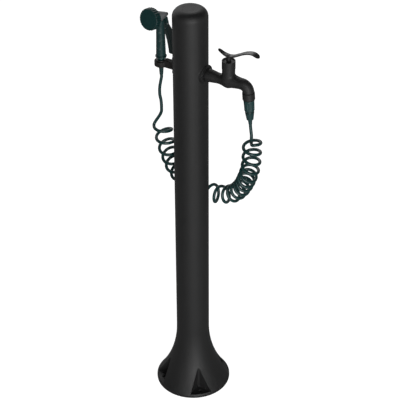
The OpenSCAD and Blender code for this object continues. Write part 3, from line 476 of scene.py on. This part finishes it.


# %% [markdown]
# The post is black moulded plastic with a slight grain. The tap is black-coated metal, a little
# smoother. The gun has a dark green-blue head, a soft cover on its grip and a pale grey barrel, whose
# pale tone is partly a painted sheen for the light on its top; the hose is a smooth tube of the
# head's colour. Inside the tap are brass, ceramic and steel.

# %% Finishes of every piece
looks = {
    "post_plastic": dict(colour=(0.006, 0.0061, 0.0063), rough=0.6, grain=1000, bump=0.32, edge=0.0022),
    "badge_metal": dict(colour=(0.0075, 0.0075, 0.0078), rough=0.58, grain=1100, bump=0.35, level=0.45),
    "tap_metal": dict(colour=(0.011, 0.0111, 0.0113), rough=0.56, grain=1100, bump=0.5, level=0.4),
    "lever_metal": dict(colour=(0.016, 0.016, 0.0163), rough=0.38, grain=1600, bump=0.1, level=0.6),
    "dark_steel": dict(colour=(0.03, 0.03, 0.03), rough=0.4, grain=1600, bump=0.1, metal=0.6),
    "holder_plastic": dict(colour=(0.0095, 0.0085, 0.008), rough=0.6, grain=1100, bump=0.6, level=0.35),
    "teal_plastic": dict(colour=(0.006, 0.033, 0.033), rough=0.36, grain=1500, bump=0.12),
    # Partly painted sheen: the barrel's pale grey also stands for the light on its top.
    "barrel_plastic": dict(colour=(0.13, 0.145, 0.15), rough=0.42, grain=1500, bump=0.15, level=0.9),
    "dark_teal_plastic": dict(colour=(0.006, 0.024, 0.024), rough=0.42, grain=1500, bump=0.2),
    "connector_plastic": dict(colour=(0.0105, 0.044, 0.045), rough=0.4, grain=1500, bump=0.15),
    "face_plastic": dict(colour=(0.004, 0.034, 0.034), rough=0.5, grain=1500, bump=0.6, level=0.2),
    "teal_rubber": dict(colour=(0.0065, 0.0325, 0.033), rough=0.46, grain=1800, bump=0.6, level=0.35),
    "hose_tube": dict(colour=(0.007, 0.037, 0.037), rough=0.38, grain=700, bump=0.08, level=0.42),
    "black_plastic": dict(colour=(0.007, 0.007, 0.007), rough=0.45, grain=1500, bump=0.15),
    "black_rubber": dict(colour=(0.01, 0.01, 0.01), rough=0.6, grain=2000, bump=0.3),
    # Ceramic, brass and steel get no painted edge highlight.
    "ceramic": dict(colour=(0.75, 0.73, 0.68), rough=0.25, grain=2500, bump=0.05, painted_edge_light=0),
    "brass": dict(colour=(0.6, 0.42, 0.16), rough=0.3, grain=2500, bump=0.15, metal=1.0, painted_edge_light=0),
    "steel": dict(colour=(0.55, 0.56, 0.57), rough=0.32, grain=2500, bump=0.15, metal=1.0, painted_edge_light=0),
}
finishes = {name: finish(name, **look) for name, look in looks.items()}
for part in frame["record"]["subparts"]:
    piece = nodes[part["node"]]
    piece.data.materials.clear()
    piece.data.materials.append(finishes[part["material_slot"]])
for piece, slot in dressed:
    piece.data.materials.clear()
    piece.data.materials.append(finishes[slot])
print("finishes:", len(finishes), "dressed pieces:", len(dressed))

# %% [markdown]
# The gun's moulding is pale grey along its barrel; the grey is partly a painted sheen that stands
# for the light on the barrel's top. The ears that carry the trigger, and the flange under the grip,
# take the colour of the head. The barrel is a cone, so a face belongs to it where
# it lies no further from the middle line than the cone does there.

# %% Two colours on the gun
barrel_back = 0.017
barrel_end_r = 0.0063
barrel_slope = 0.274
gun.data.materials.append(finishes["teal_plastic"])
for face in gun.data.polygons:
    from_middle = face.center - barrel_middle
    cone_r = barrel_end_r + barrel_slope * (from_middle.dot(barrel_along) + barrel_back)
    face.material_index = 0 if from_middle.cross(barrel_along).length < cone_r else 1
print("barrel faces:", sum(face.material_index == 0 for face in gun.data.polygons))

# %% [markdown]
# ## Floor and light
#
# The photograph stands on plain white. The floor shows white to the camera and keeps a soft
# shadow. To gloss it shows more faintly, and brighter further out, as a studio's sweep does,
# because a fully white floor would turn the black post grey.

# %% Floor


def white_stage(name):
    made = bpy.data.materials.new(name)
    made.use_nodes = True
    tree = made.node_tree
    tree.nodes.remove(tree.nodes["Principled BSDF"])
    matt = tree.nodes.new("ShaderNodeBsdfDiffuse")
    matt.inputs["Color"].default_value = (0.35, 0.35, 0.35, 1)
    glow = tree.nodes.new("ShaderNodeEmission")
    seen = tree.nodes.new("ShaderNodeLightPath")
    level = tree.nodes.new("ShaderNodeMath")
    level.operation = "MULTIPLY"
    level.inputs[1].default_value = 0.96
    spot = tree.nodes.new("ShaderNodeNewGeometry")
    away = tree.nodes.new("ShaderNodeVectorMath")
    away.operation = "LENGTH"
    sweep = tree.nodes.new("ShaderNodeMapRange")
    sweep.inputs["From Min"].default_value = 2.2
    sweep.inputs["From Max"].default_value = 4.5
    sweep.inputs["To Min"].default_value = 0.05
    sweep.inputs["To Max"].default_value = 0.6
    faint = tree.nodes.new("ShaderNodeMath")
    faint.operation = "MULTIPLY_ADD"
    both = tree.nodes.new("ShaderNodeAddShader")
    tree.links.new(spot.outputs["Position"], away.inputs[0])
    tree.links.new(away.outputs["Value"], sweep.inputs["Value"])
    tree.links.new(sweep.outputs["Result"], faint.inputs[1])
    tree.links.new(seen.outputs["Is Camera Ray"], level.inputs[0])
    tree.links.new(seen.outputs["Is Glossy Ray"], faint.inputs[0])
    tree.links.new(level.outputs["Value"], faint.inputs[2])
    tree.links.new(faint.outputs["Value"], glow.inputs["Strength"])
    tree.links.new(matt.outputs["BSDF"], both.inputs[0])
    tree.links.new(glow.outputs["Emission"], both.inputs[1])
    tree.links.new(both.outputs["Shader"], tree.nodes["Material Output"].inputs["Surface"])
    return made


floor_mesh = bpy.data.meshes.new("floor")
floor_half = 12
floor_corners = [(x * floor_half, y * floor_half, 0) for x, y in ((-1, -1), (1, -1), (1, 1), (-1, 1))]
floor_mesh.from_pydata(floor_corners, [], [(0, 1, 2, 3)])
floor = bpy.data.objects.new("floor", floor_mesh)
floor_mesh.materials.append(white_stage("floor_white"))
scene.collection.objects.link(floor)
print("floor is", 2 * floor_half, "m wide")

# %% [markdown]
# The world is white to the camera and through clear things. For everything else it is almost
# dark, so that the lamps alone shape the object, apart from a band near the horizon that gloss
# sees as a white backdrop. Sockets 2 and 3 of the Mix node are its two numbers.

# %% World
world = bpy.data.worlds.new("studio")
scene.world = world
world.use_nodes = True
sky = world.node_tree
plain = sky.nodes["Background"]
seen = sky.nodes.new("ShaderNodeLightPath")
bright = sky.nodes.new("ShaderNodeMath")
bright.operation = "MAXIMUM"
look = sky.nodes.new("ShaderNodeTexCoord")
height = sky.nodes.new("ShaderNodeSeparateXYZ")
sweep = sky.nodes.new("ShaderNodeMapRange")
sweep.inputs["From Min"].default_value = 0.35
sweep.inputs["From Max"].default_value = 0.05
sweep.inputs["To Min"].default_value = 0.0
sweep.inputs["To Max"].default_value = 0.5
sky.links.new(look.outputs["Generated"], height.inputs["Vector"])
sky.links.new(height.outputs["Z"], sweep.inputs["Value"])
sheen = sky.nodes.new("ShaderNodeMath")
sheen.operation = "MULTIPLY_ADD"
sheen.inputs[2].default_value = 0.02
plain.inputs["Color"].default_value = (1, 1, 1, 1)
sky.links.new(sweep.outputs["Result"], sheen.inputs[1])
lift = sky.nodes.new("ShaderNodeMix")
lift.inputs[3].default_value = 1.0
sky.links.new(seen.outputs["Is Camera Ray"], bright.inputs[0])
sky.links.new(seen.outputs["Is Transmission Ray"], bright.inputs[1])
sky.links.new(seen.outputs["Is Glossy Ray"], sheen.inputs[0])
sky.links.new(bright.outputs["Value"], lift.inputs[0])
sky.links.new(sheen.outputs["Value"], lift.inputs[2])
sky.links.new(lift.outputs[0], plain.inputs["Strength"])
print("world nodes:", len(sky.nodes))

# %% [markdown]
# A tall soft box beside the camera gives the post its long middle highlight. A small low one with
# a narrow beam keeps that bright down to the foot, a wide one behind lights the tops, and a strip
# on the left draws the edge.

# %% Lamps


def soft_box(name, place, target, width, height, power):
    data = bpy.data.lights.new(name, "AREA")
    data.shape = "RECTANGLE"
    data.size = width
    data.size_y = height
    data.energy = power
    lamp = bpy.data.objects.new(name, data)
    lamp.location = place
    lamp.rotation_euler = (Vector(target) - Vector(place)).to_track_quat("-Z", "Y").to_euler()
    scene.collection.objects.link(lamp)
    return lamp


soft_box("front_box", (1.36, -1.46, 1.2), (0, 0, 1.2), 1.0, 2.3, 38)
low_box = soft_box("low_box", (0.95, -1.02, 0.3), (0, 0, 0.14), 0.5, 0.5, 0.38)
low_box.data.spread = radians(40)
soft_box("back_box", (-1.4, 1.3, 2.1), (0, 0, 0.9), 2.4, 1.6, 24)
soft_box("left_strip", (-1.9, 0.5, 0.9), (0, 0, 0.7), 0.5, 1.6, 4)
print("lamps:", len(bpy.data.lights))
